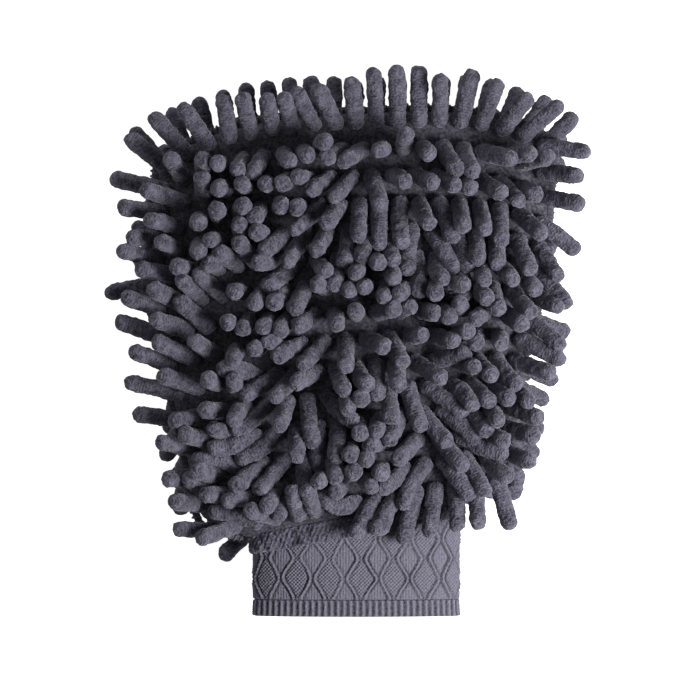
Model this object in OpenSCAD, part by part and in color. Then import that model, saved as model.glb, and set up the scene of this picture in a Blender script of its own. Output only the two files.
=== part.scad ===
// Chenille wash mitt: a sewn bag covered front and rear with rows of chenille fingers, on a knitted cuff.
// Millimetres. The mitt lies on its rear pile on a flat surface: +Z is its front face, +Y its fingertip end.
// Every piece is drawn in the sewing frame, where y = 0 is the wrist seam, z = 0 the plane of the edge seam
// and x = 0 the centre line, and is then moved so that the middle of the mitt's footprint is the origin.

/* [Bag] */
// Length of the bag from the wrist seam to its closed end
bag_length = 186; // [150:0.5:200]
// Half width of the bag near its closed end
upper_half_width = 90; // [80:1:100]
// Half width just above the rounded shoulders
lower_half_width = 73; // [65:1:80]
// Length of the rounded shoulders above the cuff
shoulder_length = 24; // [15:1:35]
// Distance above the wrist at which the bag reaches its full width
full_width_y = 128; // [100:1:150]
// How far the bag's middle bows to the left of the line from cuff to closed end
side_bow = 5; // [0:0.5:8]
// How far the closed end's two corners curve back from its middle
end_arch = 15; // [0:1:22]
// How far the closed end climbs from its middle to its right corner, and drops to its left one
end_tilt = 5; // [0:0.5:10]
// How far the two corners at the closed end are rounded back
corner_drop = 4; // [4:1:14]
// Height of the front panel above the seam plane
front_rise = 14; // [12:0.5:20]
// Depth of the rear panel below the seam plane
rear_rise = 11; // [10:0.5:16]
// Height of both panels at the wrist, where they meet the cuff
wrist_rise = 13.5; // [12:0.5:18]
// Distance over which the panels change from the wrist height to their own
rise_blend = 40; // [20:1:60]
// How flat the front panel is across: 2 is an ellipse, more is flatter
front_flatness = 2.4; // [2:0.1:4]
// How flat the rear panel is across, where the mitt rests on it
rear_flatness = 4; // [2:0.1:5]
// How late the panels close towards the closed end
end_flatness = 6; // [4:1:10]
// Thickness of the backing cloth that the pile is sewn to
backing_thickness = 1.2; // [0.8:0.1:1.6]
// Thickness of the lining
lining_thickness = 0.6; // [0.4:0.1:1]
// Space between the backing and the lining
lining_gap = 0.3; // [0.2:0.1:0.6]
// Slope of the wrist seam across the mitt: the cuff is sewn on a little askew
wrist_skew = 0.18; // [0:0.01:0.22]
// Distance above the wrist over which that slope dies out
skew_reach = 130; // [110:5:170]
// Half the space between the front and rear panels along the edge seam
seam_half_gap = 0.3; // [0.2:0.1:0.5]

/* [Pile] */
// Rows of fingers on each face
row_count = 15; // [12:1:16]
// Distance of the first row above the wrist seam
first_row_y = 9; // [7:1:14]
// Distance of the last row from the closed end
last_row_margin = 5.5; // [4:0.5:12]
// Distance between fingers in a row
finger_pitch = 8.8; // [8.4:0.1:10]
// Bare margin between a row's last finger and the side edge
side_margin = 4.5; // [4:0.5:8]
// Diameter of a finger
finger_diameter = 7.2; // [6:0.1:7.6]
// Length of a finger
finger_length = 27; // [22:0.5:30]
// Most that a finger's length differs from that
length_jitter = 1.2; // [0:0.1:2]
// Most that a finger's lean differs from its neighbours'
lean_jitter = 0.03; // [0:0.01:0.1]
// Lean of the rear pile, which the mitt's weight presses outwards from the middle
rear_lean = 0.96; // [0.8:0.01:1.1]
// Extra outward lean of the front pile towards the side edges
side_splay = 0.5; // [0.1:0.05:0.6]
// The same for the rear pile, which stays under the mitt
rear_side_splay = 0.1; // [0:0.05:0.6]
// Extra outward lean towards the closed end
end_splay = 0.7; // [0.2:0.05:0.8]

/* [Cuff] */
// Half width of the cuff as it lies flat
cuff_half_width = 47; // [42:1:52]
// Length of the cuff below the wrist seam, with its welt
cuff_length = 43; // [35:1:60]
// Thickness of the cuff's knit
cuff_thickness = 2; // [1.6:0.1:2.4]
// Length of the ribbed welt at the cuff's end
welt_length = 7.6; // [6:0.2:12]
// Thickness of the welt, which is knitted double
welt_thickness = 2.6; // [2.2:0.1:3]
// Ribs all round the welt
welt_ribs = 72; // [60:2:90]
// Height of a rib
rib_height = 0.7; // [0.4:0.1:1]
// Width of the hem that holds the cuff to the bag
wrist_hem_width = 6; // [4:0.5:8]
// Thickness of that hem
wrist_hem_thickness = 1.1; // [0.8:0.1:1.6]
// Thickness of the elastic strands laid into the welt
elastic_thickness = 0.8; // [0.6:0.1:1]

/* [Edge seam] */
// Width of the overlocked strip outside the bag's outline
edge_seam_width = 2.2; // [1.5:0.1:3]
// Height of that strip
edge_seam_height = 2.4; // [1.6:0.1:3]

/* [Hidden] */
row_names = [for (face = ["front", "rear"]) for (row = [1 : row_count]) str(face, "_row_", row < 10 ? "0" : "", row)];

finger_radius = finger_diameter / 2;
// space between a finger's root and the backing, and between the hem and the cuff
stitch_gap = 0.1;
wrist_gap = 0.2;
// a layer is set in this much more at its edges than at its middle
edge_inset_ratio = 1.5;
// width over which one comb stroke acts
comb_reach = 26;
// power that keeps the corner rounding to the corners
corner_power = 8;
// power by which the curve of the closed end fades towards the wrist
bend_power = 1.6;
pile_seed = 41;
seeds_per_row = 40;
rear_seed = 1000;
// fineness of the shapes
panel_columns = 24;
panel_rows = 20;
finger_sides = 24;
cap_steps = 3;
oval_sides = 96;
outline_steps = 24;
sides_per_rib = 4;

cuff_half_height = wrist_rise + seam_half_gap;
welt_end_y = -cuff_length;
welt_start_y = welt_end_y + welt_length;

// ---- Bag surface -------------------------------------------------------------------------------------------

function clamp01(value) = min(1, max(0, value));
function smooth(value) = let (u = clamp01(value)) u * u * (3 - 2 * u);
function mix(a, b, share) = a + (b - a) * share;
function unit(v) = v / norm(v);

// Half width of the bag at height y above the wrist seam.
function half_width(y) =
    let (shoulder = sqrt(1 - pow(1 - clamp01(y / shoulder_length), 2)))
    let (flare = smooth((y - shoulder_length) / (full_width_y - shoulder_length)))
    mix(cuff_half_width, lower_half_width, shoulder) + (upper_half_width - lower_half_width) * flare;

// Length of the bag at s, which runs -1 to 1 across it, before its closed end is curved.
function length_at(s) = bag_length - corner_drop * pow(abs(s), corner_power);

// How far a point moves along the bag to curve the closed end; t runs 0 to 1 from wrist to closed end.
function bend_at(s, t) = (end_tilt * s - end_arch * pow(abs(s), 3)) * pow(t, bend_power);

// A panel's height over the seam plane on the centre line, and how flat it is across; face is 1 or -1.
function rise(y, face) = mix(wrist_rise, face > 0 ? front_rise : rear_rise, smooth(y / rise_blend));
function flatness(y, face) = mix(2, face > 0 ? front_flatness : rear_flatness, smooth(y / rise_blend));

// A point of a panel at s across and t along, moved inwards by inset.
function panel_point(s, t, face, inset = 0) =
    let (edge_inset = inset * edge_inset_ratio)
    let (y = t * (length_at(s) - edge_inset))
    let (across = sqrt(max(0, 1 - pow(abs(s), flatness(y, face)))))
    let (along = sqrt(max(0, 1 - pow(t, end_flatness))))
    let (x = s * (half_width(y) - edge_inset) - side_bow * sin(180 * clamp01(y / bag_length)))
    let (skew = wrist_skew * x * (1 - smooth(y / skew_reach)))
    [x, y + skew + bend_at(s, t), face * (seam_half_gap + (rise(y, face) - inset) * across * along)];

// Outward unit normal of a panel, from a short step each way along it.
function panel_normal(s, t, face) =
    let (step = 0.004)
    let (across = panel_point(s + step, t, face) - panel_point(s - step, t, face))
    let (along = panel_point(s, t + step, face) - panel_point(s, t - step, face))
    face * unit(cross(across, along));

// ---- Pile --------------------------------------------------------------------------------------------------

// Comb strokes over the front pile: where each is centred, and how far it leans the fingers in x and y.
comb_strokes = [
    [[-78, 152], [-0.55, 0.65]],
    [[-30, 172], [-0.20, 2.40]],
    [[35, 180], [0.25, 3.20]],
    [[84, 164], [0.60, 0.60]],
    [[-55, 146], [-0.10, 0.15]],
    [[-10, 150], [0.10, -0.20]],
    [[35, 152], [0.05, -0.45]],
    [[36, 126], [0.05, -0.80]],
    [[70, 130], [0.30, -0.60]],
    [[-62, 112], [-0.35, 0.20]],
    [[-22, 120], [-0.25, -0.20]],
    [[6, 96], [0.00, -0.05]],
    [[60, 98], [0.25, -0.70]],
    [[-60, 80], [-0.45, 0.30]],
    [[-25, 78], [-0.20, 0.00]],
    [[8, 72], [-0.15, -0.65]],
    [[45, 70], [0.25, -0.30]],
    [[-62, 48], [-0.50, 0.00]],
    [[-22, 48], [-0.25, -0.35]],
    [[8, 54], [0.00, -0.10]],
    [[58, 44], [0.40, -0.45]],
    [[-48, 18], [-0.45, -0.35]],
    [[-15, 16], [-0.20, -0.65]],
    [[18, 14], [0.10, -0.75]],
    [[52, 18], [0.40, -0.60]],
];

function total(values, i = 0) = i < len(values) ? values[i] + total(values, i + 1) : 0;
function stroke_weight(stroke, place) = exp(-pow(norm(stroke[0] - place) / comb_reach, 2));
function combed(place, axis) =
    let (weights = [for (stroke = comb_strokes) stroke_weight(stroke, place)])
    total([for (i = [0 : len(weights) - 1]) weights[i] * comb_strokes[i][1][axis]]) / total(weights);

function front_lean(place) = [combed(place, 0), combed(place, 1), 0];
function rear_pile_lean(place) = [0, (place[1] > bag_length / 2 ? 1 : -1) * rear_lean, 0];
function splay_of(face) = face > 0 ? side_splay : rear_side_splay;
function edge_splay(s, t, face) = [splay_of(face) * pow(s, 3), end_splay * pow(t, 10), 0];

// Rows run across. Odd and even counts alternate, which staggers them.
function row_y(row) = mix(first_row_y, bag_length - last_row_margin, row / (row_count - 1));
function row_fingers(row) =
    let (reach = (half_width(row_y(row)) - side_margin) / finger_pitch)
    row % 2 == 0 ? 2 * floor(reach) + 1 : 2 * floor(reach + 0.5);

// One finger: the centre of its root cap, its direction and its length.
function finger(row, index, face) =
    let (y = row_y(row))
    let (s = (2 * index / (row_fingers(row) - 1) - 1) * (1 - side_margin / half_width(y)))
    let (t = y / bag_length)
    let (normal = panel_normal(s, t, face))
    let (jitter = rands(-1, 1, 3, pile_seed + index + seeds_per_row * row + (face > 0 ? 0 : rear_seed)))
    let (place = [s * half_width(y), y + bend_at(s, t)])
    let (lean = face > 0 ? front_lean(place) : rear_pile_lean(place))
    let (wander = [jitter[0], jitter[1], 0] * lean_jitter)
    [
        panel_point(s, t, face) + normal * (finger_radius + stitch_gap),
        unit(normal + lean + edge_splay(s, t, face) + wander),
        finger_length + jitter[2] * length_jitter,
    ];

function pile_row(row, face) = [for (index = [0 : row_fingers(row) - 1]) finger(row, index, face)];
function tip_centre(strand) = strand[0] + strand[1] * (strand[2] - finger_diameter);

// ---- Placing the mitt on its footprint ---------------------------------------------------------------------

whole_pile = [for (face = [-1, 1]) for (row = [0 : row_count - 1]) each pile_row(row, face)];
finger_ends = [for (strand = whole_pile) each [strand[0], tip_centre(strand)]];
function lowest(axis) = min([for (end = finger_ends) end[axis]]) - finger_radius;
function highest(axis) = max([for (end = finger_ends) end[axis]]) + finger_radius;
to_footprint = [-(lowest(0) + highest(0)) / 2, -(highest(1) + welt_end_y) / 2, -lowest(2)];

// ---- Shapes ------------------------------------------------------------------------------------------------

// A chenille finger standing on the origin, which is the centre of its root cap.
module chenille_finger(length) {
    straight = length - finger_diameter;
    angles = [for (step = [0 : cap_steps]) 90 * step / cap_steps];
    root_cap = [for (a = angles) [finger_radius * sin(a), -finger_radius * cos(a)]];
    tip_cap = [for (a = angles) [finger_radius * cos(a), straight + finger_radius * sin(a)]];
    rotate_extrude($fn = finger_sides) polygon(concat(root_cap, tip_cap));
}

// One row of fingers, each its own solid.
module finger_row(row, face) {
    color("dimgray") translate(to_footprint)
        for (strand = pile_row(row, face)) {
            heading = atan2(strand[1][1], strand[1][0]);
            tilt = acos(strand[1][2]);
            translate(strand[0]) rotate([0, tilt, heading]) chenille_finger(strand[2]);
        }
}

// A closed sheet between two insets of a panel.
module panel_sheet(face, outer_inset, inner_inset) {
    columns = panel_columns;
    rows = panel_rows;
    layer_points = (columns + 1) * (rows + 1);
    points = [
        for (inset = [outer_inset, inner_inset])
            for (j = [0 : rows])
                for (i = [0 : columns])
                    panel_point(sin(90 * (2 * i / columns - 1)), sin(90 * j / rows), face, inset)
    ];
    function at(layer, i, j) = layer * layer_points + j * (columns + 1) + i;
    skins = [
        for (j = [0 : rows - 1])
            for (i = [0 : columns - 1])
                each [
                    [at(0, i, j), at(0, i + 1, j + 1), at(0, i, j + 1)],
                    [at(0, i, j), at(0, i + 1, j), at(0, i + 1, j + 1)],
                    [at(1, i, j), at(1, i, j + 1), at(1, i + 1, j + 1)],
                    [at(1, i, j), at(1, i + 1, j + 1), at(1, i + 1, j)],
                ]
    ];
    mouth_and_end = [
        for (i = [0 : columns - 1])
            each [
                [at(0, i, 0), at(1, i + 1, 0), at(0, i + 1, 0)],
                [at(0, i, 0), at(1, i, 0), at(1, i + 1, 0)],
                [at(0, i, rows), at(0, i + 1, rows), at(1, i + 1, rows)],
                [at(0, i, rows), at(1, i + 1, rows), at(1, i, rows)],
            ]
    ];
    side_edges = [
        for (j = [0 : rows - 1])
            each [
                [at(0, 0, j), at(0, 0, j + 1), at(1, 0, j + 1)],
                [at(0, 0, j), at(1, 0, j + 1), at(1, 0, j)],
                [at(0, columns, j), at(1, columns, j + 1), at(0, columns, j + 1)],
                [at(0, columns, j), at(1, columns, j), at(1, columns, j + 1)],
            ]
    ];
    polyhedron(points, concat(skins, mouth_and_end, side_edges));
}

module backing(face) {
    color("dimgray") translate(to_footprint) panel_sheet(face, 0, backing_thickness);
}

module lining(face) {
    outer = backing_thickness + lining_gap;
    color("gray") translate(to_footprint) panel_sheet(face, outer, outer + lining_thickness);
}

// The bag's outline, from the left shoulder round the closed end to the right shoulder.
module bag_outline() {
    left_side = [for (i = [0 : outline_steps]) panel_point(-1, sin(90 * i / outline_steps), 1)];
    closed_end = [for (i = [1 : outline_steps - 1]) panel_point(-cos(180 * i / outline_steps), 1, 1)];
    right_side = [for (i = [0 : outline_steps]) panel_point(1, cos(90 * i / outline_steps), 1)];
    polygon([for (p = concat(left_side, closed_end, right_side)) [p[0], p[1]]]);
}

// Everything in the seam plane that lies below the sloping wrist line, moved up by raise.
module below_wrist(raise) {
    slope = atan(wrist_skew);
    translate([0, raise]) rotate(slope) translate([-bag_length, -bag_length]) square([2 * bag_length, bag_length]);
}

// The same as a solid, and its opposite.
module half_space_below_wrist(raise) {
    translate([0, 0, -bag_length]) linear_extrude(2 * bag_length) below_wrist(raise);
}

module half_space_above_wrist(raise) {
    translate([0, raise, 0]) rotate([0, 0, 180]) half_space_below_wrist(0);
}

// The overlocked strip round the bag's outline, open at the wrist.
module edge_seam() {
    color("dimgray") translate(to_footprint) translate([0, 0, -edge_seam_height / 2])
        linear_extrude(edge_seam_height) difference() {
            offset(delta = edge_seam_width) bag_outline();
            offset(delta = stitch_gap) bag_outline();
            below_wrist(stitch_gap);
        }
}

// An oval across the cuff; ribs raise ripples on it.
function oval(half_width, half_height, sides, ribs = 0) = [
    for (k = [0 : sides - 1])
        let (angle = 360 * k / sides)
        let (lift = ribs > 0 ? rib_height * (1 - cos(ribs * angle)) / 2 : 0)
        [(half_width + lift) * cos(angle), (half_height + lift) * sin(angle)]
];

// A tube along y between two ovals.
module oval_tube(outer, inner, from_y, to_y) {
    translate([0, to_y, 0]) rotate([90, 0, 0]) linear_extrude(to_y - from_y) difference() {
        polygon(outer);
        polygon(inner);
    }
}

// The turned hem of the backing, stitched over the top of the cuff.
module wrist_hem() {
    inner_width = cuff_half_width + stitch_gap;
    inner_height = cuff_half_height + stitch_gap;
    color("dimgray") translate(to_footprint) difference() {
        oval_tube(
            oval(inner_width + wrist_hem_thickness, inner_height + wrist_hem_thickness, oval_sides),
            oval(inner_width, inner_height, oval_sides),
            -cuff_length,
            cuff_length
        );
        half_space_above_wrist(-wrist_gap / 2);
        half_space_below_wrist(-wrist_hem_width);
    }
}

module cuff_knit() {
    color("gray") translate(to_footprint) difference() {
        oval_tube(
            oval(cuff_half_width, cuff_half_height, oval_sides),
            oval(cuff_half_width - cuff_thickness, cuff_half_height - cuff_thickness, oval_sides),
            welt_start_y,
            cuff_length
        );
        half_space_above_wrist(-wrist_gap);
    }
}

// The ribbed welt, with a channel round it for each elastic strand.
welt_inner_width = cuff_half_width - welt_thickness;
welt_inner_height = cuff_half_height - welt_thickness;
elastic_inset = (welt_thickness + elastic_thickness) / 2;
elastic_channel = elastic_thickness + wrist_gap;
elastic_places = [welt_end_y + welt_length / 3, welt_end_y + welt_length * 2 / 3];

module strand_ring(place, width, thickness) {
    edge = (welt_thickness - thickness) / 2;
    oval_tube(
        oval(cuff_half_width - edge, cuff_half_height - edge, oval_sides),
        oval(cuff_half_width - edge - thickness, cuff_half_height - edge - thickness, oval_sides),
        place - width / 2,
        place + width / 2
    );
}

module cuff_welt() {
    color("gray") translate(to_footprint) difference() {
        oval_tube(
            oval(cuff_half_width, cuff_half_height, welt_ribs * sides_per_rib, welt_ribs),
            oval(welt_inner_width, welt_inner_height, oval_sides),
            welt_end_y,
            welt_start_y
        );
        for (place = elastic_places) strand_ring(place, elastic_channel, elastic_channel);
    }
}

module welt_elastic() {
    color("white") translate(to_footprint)
        for (place = elastic_places) strand_ring(place, elastic_thickness, elastic_thickness);
}

backing(1);  // front_backing
backing(-1);  // rear_backing
lining(1);  // front_lining
lining(-1);  // rear_lining
edge_seam();
wrist_hem();
cuff_knit();
cuff_welt();
welt_elastic();
for (row = [0 : row_count - 1]) {
    finger_row(row, 1);
    finger_row(row, -1);
}
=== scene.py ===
"""Chenille wash mitt lying on its rear pile, seen straight down from above, on a plain pale floor."""
import math

import bmesh
import bpy
import numpy as np
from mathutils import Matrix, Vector
from mathutils.bvhtree import BVHTree


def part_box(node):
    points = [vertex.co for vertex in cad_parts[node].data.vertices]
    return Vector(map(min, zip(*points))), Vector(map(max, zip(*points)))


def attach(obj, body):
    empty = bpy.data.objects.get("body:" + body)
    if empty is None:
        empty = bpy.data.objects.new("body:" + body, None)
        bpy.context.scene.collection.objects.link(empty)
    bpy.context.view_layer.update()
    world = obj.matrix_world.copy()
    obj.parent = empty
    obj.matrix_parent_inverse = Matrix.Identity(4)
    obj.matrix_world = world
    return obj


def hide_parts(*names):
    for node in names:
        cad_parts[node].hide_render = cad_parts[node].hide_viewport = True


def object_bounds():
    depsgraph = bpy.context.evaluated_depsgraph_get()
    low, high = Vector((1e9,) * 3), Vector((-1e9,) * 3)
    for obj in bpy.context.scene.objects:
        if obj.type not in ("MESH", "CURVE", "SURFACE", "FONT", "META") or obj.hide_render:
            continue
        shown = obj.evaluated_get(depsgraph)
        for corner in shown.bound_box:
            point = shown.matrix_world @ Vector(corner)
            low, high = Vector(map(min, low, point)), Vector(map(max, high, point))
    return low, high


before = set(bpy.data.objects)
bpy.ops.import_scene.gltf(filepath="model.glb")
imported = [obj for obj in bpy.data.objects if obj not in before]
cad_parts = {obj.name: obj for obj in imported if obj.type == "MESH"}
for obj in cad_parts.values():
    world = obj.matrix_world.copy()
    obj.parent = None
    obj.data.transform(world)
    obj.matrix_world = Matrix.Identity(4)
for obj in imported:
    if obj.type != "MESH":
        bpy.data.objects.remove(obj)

cad_low, cad_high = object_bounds()
MM = 0.001
scene = bpy.context.scene

# ---- Sizes, in metres --------------------------------------------------------------------------------------
FINGER_RADIUS = 3.85 * MM  # the fluffy outside of a finger
TOUCH_RADIUS = 3.65 * MM  # the core that pushes other fingers away
CHAIN_POINTS = 7  # points along a finger while the pile settles
SETTLE_STEPS = 200
RINGS = 50  # rings along a finger's mesh
SIDES = 26  # sides of a finger's mesh
RIDGE_PITCH = 1.3 * MM  # spacing of the tufts along a finger
LUMP_HEIGHT = 0.375 * MM
LUMP_SIZE = 3.2 * MM
FUZZ_HEIGHT = 0.4 * MM
FUZZ_SIZE = 1.35 * MM
# how strongly the colour follows the lumps and fuzz, as painted shade that is darker in their hollows
RELIEF_SHADE_CONTRAST = 0.9
FATNESS_SPREAD = 0.05  # single fingers are thicker or thinner by up to this share
# painted shade: a finger's colour darkens towards its root, where little light reaches into the pile
PAINTED_ROOT_SHADE = 0.5  # how bright a finger's fibres are at its root, against 1 at its tip

rng = np.random.default_rng(11)


# ---- Camera ------------------------------------------------------------------------------------------------
CAMERA_OFFSET_X = 0.3 * MM
CAMERA_OFFSET_Y = -3.6 * MM
SEEN = 317 * MM  # how much of the object's plane the picture spans
SEEN_PLANE = 0.7  # the height of that plane, as a share of the mitt's


def make_camera():
    camera = bpy.data.objects.new("camera", bpy.data.cameras.new("camera"))
    scene.collection.objects.link(camera)
    scene.camera = camera
    camera.data.sensor_width = 36
    camera.data.lens = 300
    middle = (cad_low + cad_high) / 2
    distance = SEEN * camera.data.lens / camera.data.sensor_width
    height = cad_high.z * SEEN_PLANE + distance
    camera.location = (middle.x + CAMERA_OFFSET_X, middle.y + CAMERA_OFFSET_Y, height)
    camera.rotation_euler = (0, 0, 0)
    camera.data.clip_end = 10


make_camera()


# ---- Mesh helpers ------------------------------------------------------------------------------------------
UP = np.array([0, 0, 1.0])
WELD = 0.001 * MM  # CAD points nearer than this are one


def mesh_object(name, points, quads, uv, relief, walk=None):
    """A smooth mesh object from arrays: its points, its quads, a UV pair for each quad corner, and two things
    that its material reads: how light each point is coloured, from 0 to 1, mostly painted shade that follows
    how raised it is, and how far along its yarn it lies."""
    mesh = bpy.data.meshes.new(name)
    mesh.vertices.add(len(points))
    mesh.vertices.foreach_set("co", np.asarray(points, np.float32).ravel())
    mesh.loops.add(quads.size)
    mesh.loops.foreach_set("vertex_index", quads.astype(np.int32).ravel())
    mesh.polygons.add(len(quads))
    mesh.polygons.foreach_set("loop_start", np.arange(0, quads.size, 4, dtype=np.int32))
    mesh.polygons.foreach_set("use_smooth", np.ones(len(quads), bool))
    layer = mesh.uv_layers.new(name="OFBake")
    layer.data.foreach_set("uv", np.asarray(uv, np.float32).ravel())
    raised = mesh.attributes.new("relief", "FLOAT", "POINT")
    raised.data.foreach_set("value", np.clip(relief, 0, 1).astype(np.float32))
    if walk is None:
        walk = np.zeros(len(points))
    walked = mesh.attributes.new("walk", "FLOAT", "POINT")
    walked.data.foreach_set("value", np.asarray(walk, np.float32))
    mesh.update(calc_edges=True)
    mesh.validate()
    made = bpy.data.objects.new(name, mesh)
    scene.collection.objects.link(made)
    return made


def strip_quads(rings, sides):
    """Quads of a tube of rings by sides, and the UV pairs of their corners from 0 to 1."""
    i, j = np.meshgrid(np.arange(rings - 1), np.arange(sides), indexing="ij")
    i, j = i.ravel(), j.ravel()
    after = (j + 1) % sides
    quads = np.stack([i * sides + j, i * sides + after, (i + 1) * sides + after, (i + 1) * sides + j], 1)
    u = np.stack([j, j + 1, j + 1, j], 1) / sides
    v = np.stack([i, i, i + 1, i + 1], 1) / (rings - 1)
    return quads, np.stack([u, v], -1)


# large odd numbers that scatter neighbouring cells far apart
CELL_FACTORS = np.array([374761393, 668265263, 2147483647])
SEED_FACTOR = 1274126177
MIXING_FACTOR = 1103515245
LOW_BITS = 0xFFFFFF


def hashed(cells, seed):
    """A repeatable number from 0 to 1 for each whole-number cell."""
    mixed = cells @ CELL_FACTORS + seed * SEED_FACTOR
    mixed = (mixed ^ (mixed >> 13)) * MIXING_FACTOR
    return ((mixed ^ (mixed >> 16)) & LOW_BITS) / LOW_BITS


def noise(points, size, seed):
    """Smooth noise from -1 to 1 with lumps of that size."""
    scaled = points / size
    cell = np.floor(scaled).astype(np.int64)
    part = scaled - cell
    part = part * part * (3 - 2 * part)
    value = np.zeros(len(points))
    for corner in np.ndindex(2, 2, 2):
        weight = np.prod(np.where(np.array(corner) == 1, part, 1 - part), axis=1)
        value += weight * hashed(cell + np.array(corner), seed)
    return value * 2 - 1


def unit(vectors):
    return vectors / np.maximum(np.linalg.norm(vectors, axis=-1, keepdims=True), 1e-12)


def spokes_round(side, other, sides, turn=0.0):
    """For each point of a line, directions round it, from two directions that are square to the line."""
    angle = np.arange(sides) * 2 * math.pi / sides + turn
    return side[:, None] * np.cos(angle)[None, :, None] + other[:, None] * np.sin(angle)[None, :, None]


def arrays_of(node):
    """A CAD node's points, welded where they coincide, and its triangles."""
    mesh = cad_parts[node].data
    mesh.calc_loop_triangles()
    points = np.empty(len(mesh.vertices) * 3, np.float32)
    mesh.vertices.foreach_get("co", points)
    triangles = np.empty(len(mesh.loop_triangles) * 3, np.int32)
    mesh.loop_triangles.foreach_get("vertices", triangles)
    points = points.reshape(-1, 3).astype(float)
    keys = np.round(points / WELD).astype(np.int64)
    _, first, welded = np.unique(keys, axis=0, return_index=True, return_inverse=True)
    return points[first], welded.ravel()[triangles].reshape(-1, 3)


def islands_of(points, triangles):
    """The separate solids of a node, as lists of point numbers."""
    label = np.arange(len(points))
    while True:
        low = label[triangles].min(axis=1)
        before = label.copy()
        for corner in range(3):
            np.minimum.at(label, triangles[:, corner], low)
        label = label[label]
        if (label == before).all():
            return [np.nonzero(label == value)[0] for value in np.unique(label)]


# ---- Materials ---------------------------------------------------------------------------------------------
RIDGE_UNEVENNESS = 9.0  # how far the ridges across a finger wander, in radians of their wave
CLOTH_PATCH = 1 / 700  # in metres, the size of the lighter and darker patches of a cloth
CLOTH_GRAIN = 1 / 1300


def new_material(name, colour, roughness=0.9, sheen=0.0, sheen_tint=(1, 1, 1)):
    made = bpy.data.materials.new(name)
    made.use_nodes = True
    nodes = made.node_tree.nodes
    shader = nodes["Principled BSDF"]
    shader.inputs["Base Color"].default_value = (*colour, 1)
    shader.inputs["Roughness"].default_value = roughness
    shader.inputs["Specular IOR Level"].default_value = 0.15
    shader.inputs["Sheen Weight"].default_value = sheen
    shader.inputs["Sheen Roughness"].default_value = 0.35
    shader.inputs["Sheen Tint"].default_value = (*sheen_tint, 1)
    return made, made.node_tree, shader


def noise_node(tree, scale, detail):
    """A noise texture that is fixed to the object."""
    node = tree.nodes.new("ShaderNodeTexNoise")
    node.inputs["Scale"].default_value = scale
    node.inputs["Detail"].default_value = detail
    coordinates = tree.nodes.get("Object place") or tree.nodes.new("ShaderNodeTexCoord")
    coordinates.name = "Object place"
    tree.links.new(coordinates.outputs["Object"], node.inputs["Vector"])
    return node


def two_tones(tree, shader, factor_output, dark, light, low=0.0, high=1.0):
    """Lets the base colour run from dark where a factor is low to light where it is high."""
    ramp = tree.nodes.new("ShaderNodeValToRGB")
    first, last = ramp.color_ramp.elements
    first.position, last.position = low, high
    first.color, last.color = (*dark, 1), (*light, 1)
    tree.links.new(factor_output, ramp.inputs["Fac"])
    tree.links.new(ramp.outputs["Color"], shader.inputs["Base Color"])


def bump(tree, shader, height_output, strength, distance):
    node = tree.nodes.new("ShaderNodeBump")
    node.inputs["Strength"].default_value = strength
    node.inputs["Distance"].default_value = distance
    tree.links.new(height_output, node.inputs["Height"])
    tree.links.new(node.outputs["Normal"], shader.inputs["Normal"])


def ridge_nodes(tree):
    """Uneven ridges across the yarn, as a value from 0 to 1."""
    walked = tree.nodes.new("ShaderNodeAttribute")
    walked.attribute_name = "walk"
    turns = tree.nodes.new("ShaderNodeMath")
    turns.operation = "MULTIPLY"
    turns.inputs[1].default_value = 2 * math.pi / RIDGE_PITCH
    tree.links.new(walked.outputs["Fac"], turns.inputs[0])
    unevenness = tree.nodes.new("ShaderNodeMath")
    unevenness.operation = "MULTIPLY_ADD"
    unevenness.inputs[1].default_value = RIDGE_UNEVENNESS
    tree.links.new(noise_node(tree, 1 / (2.5 * MM), 1.0).outputs["Fac"], unevenness.inputs[0])
    tree.links.new(turns.outputs[0], unevenness.inputs[2])
    wave = tree.nodes.new("ShaderNodeMath")
    wave.operation = "SINE"
    tree.links.new(unevenness.outputs[0], wave.inputs[0])
    ridges = tree.nodes.new("ShaderNodeMapRange")
    ridges.inputs["From Min"].default_value = -1
    tree.links.new(wave.outputs[0], ridges.inputs["Value"])
    return ridges.outputs["Result"]


def yarn_material(name, dark, light, grain_size, relief_share, sheen, bump_height, ridge_share=0.0):
    """Matt fibre whose colour goes from dark in the hollows to light on what is raised, as painted shade,
    with a fine grain.
    """
    made, tree, shader = new_material(name, light, 0.95, sheen, (0.8, 0.78, 0.9))
    grain = noise_node(tree, 1 / grain_size, 2.5)
    spread = tree.nodes.new("ShaderNodeMapRange")
    spread.inputs["From Min"].default_value = 0.34
    spread.inputs["From Max"].default_value = 0.66
    tree.links.new(grain.outputs["Fac"], spread.inputs["Value"])
    texture = spread.outputs["Result"]
    if ridge_share > 0:
        mixed = tree.nodes.new("ShaderNodeMix")
        mixed.inputs["Factor"].default_value = ridge_share
        tree.links.new(texture, mixed.inputs["A"])
        tree.links.new(ridge_nodes(tree), mixed.inputs["B"])
        texture = mixed.outputs["Result"]
    blend = tree.nodes.new("ShaderNodeMix")
    blend.inputs["Factor"].default_value = relief_share
    tree.links.new(texture, blend.inputs["A"])
    # for the pile and the cuff, the relief attribute carries painted shade: dark in the hollows, light on
    # what is raised
    raised = tree.nodes.new("ShaderNodeAttribute")
    raised.attribute_name = "relief"
    tree.links.new(raised.outputs["Fac"], blend.inputs["B"])
    two_tones(tree, shader, blend.outputs["Result"], dark, light)
    bump(tree, shader, texture, 1.0, bump_height)
    return made


def cloth_material(name, dark, light):
    """Matt cloth whose colour wanders between two tones."""
    made, tree, shader = new_material(name, light, 0.95, 0.1, (0.8, 0.78, 0.88))
    patches = noise_node(tree, 1 / CLOTH_PATCH, 3.0)
    two_tones(tree, shader, patches.outputs["Fac"], dark, light, 0.35, 0.65)
    bump(tree, shader, noise_node(tree, 1 / CLOTH_GRAIN, 2.0).outputs["Fac"], 0.6, 0.4 * MM)
    return made
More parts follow.
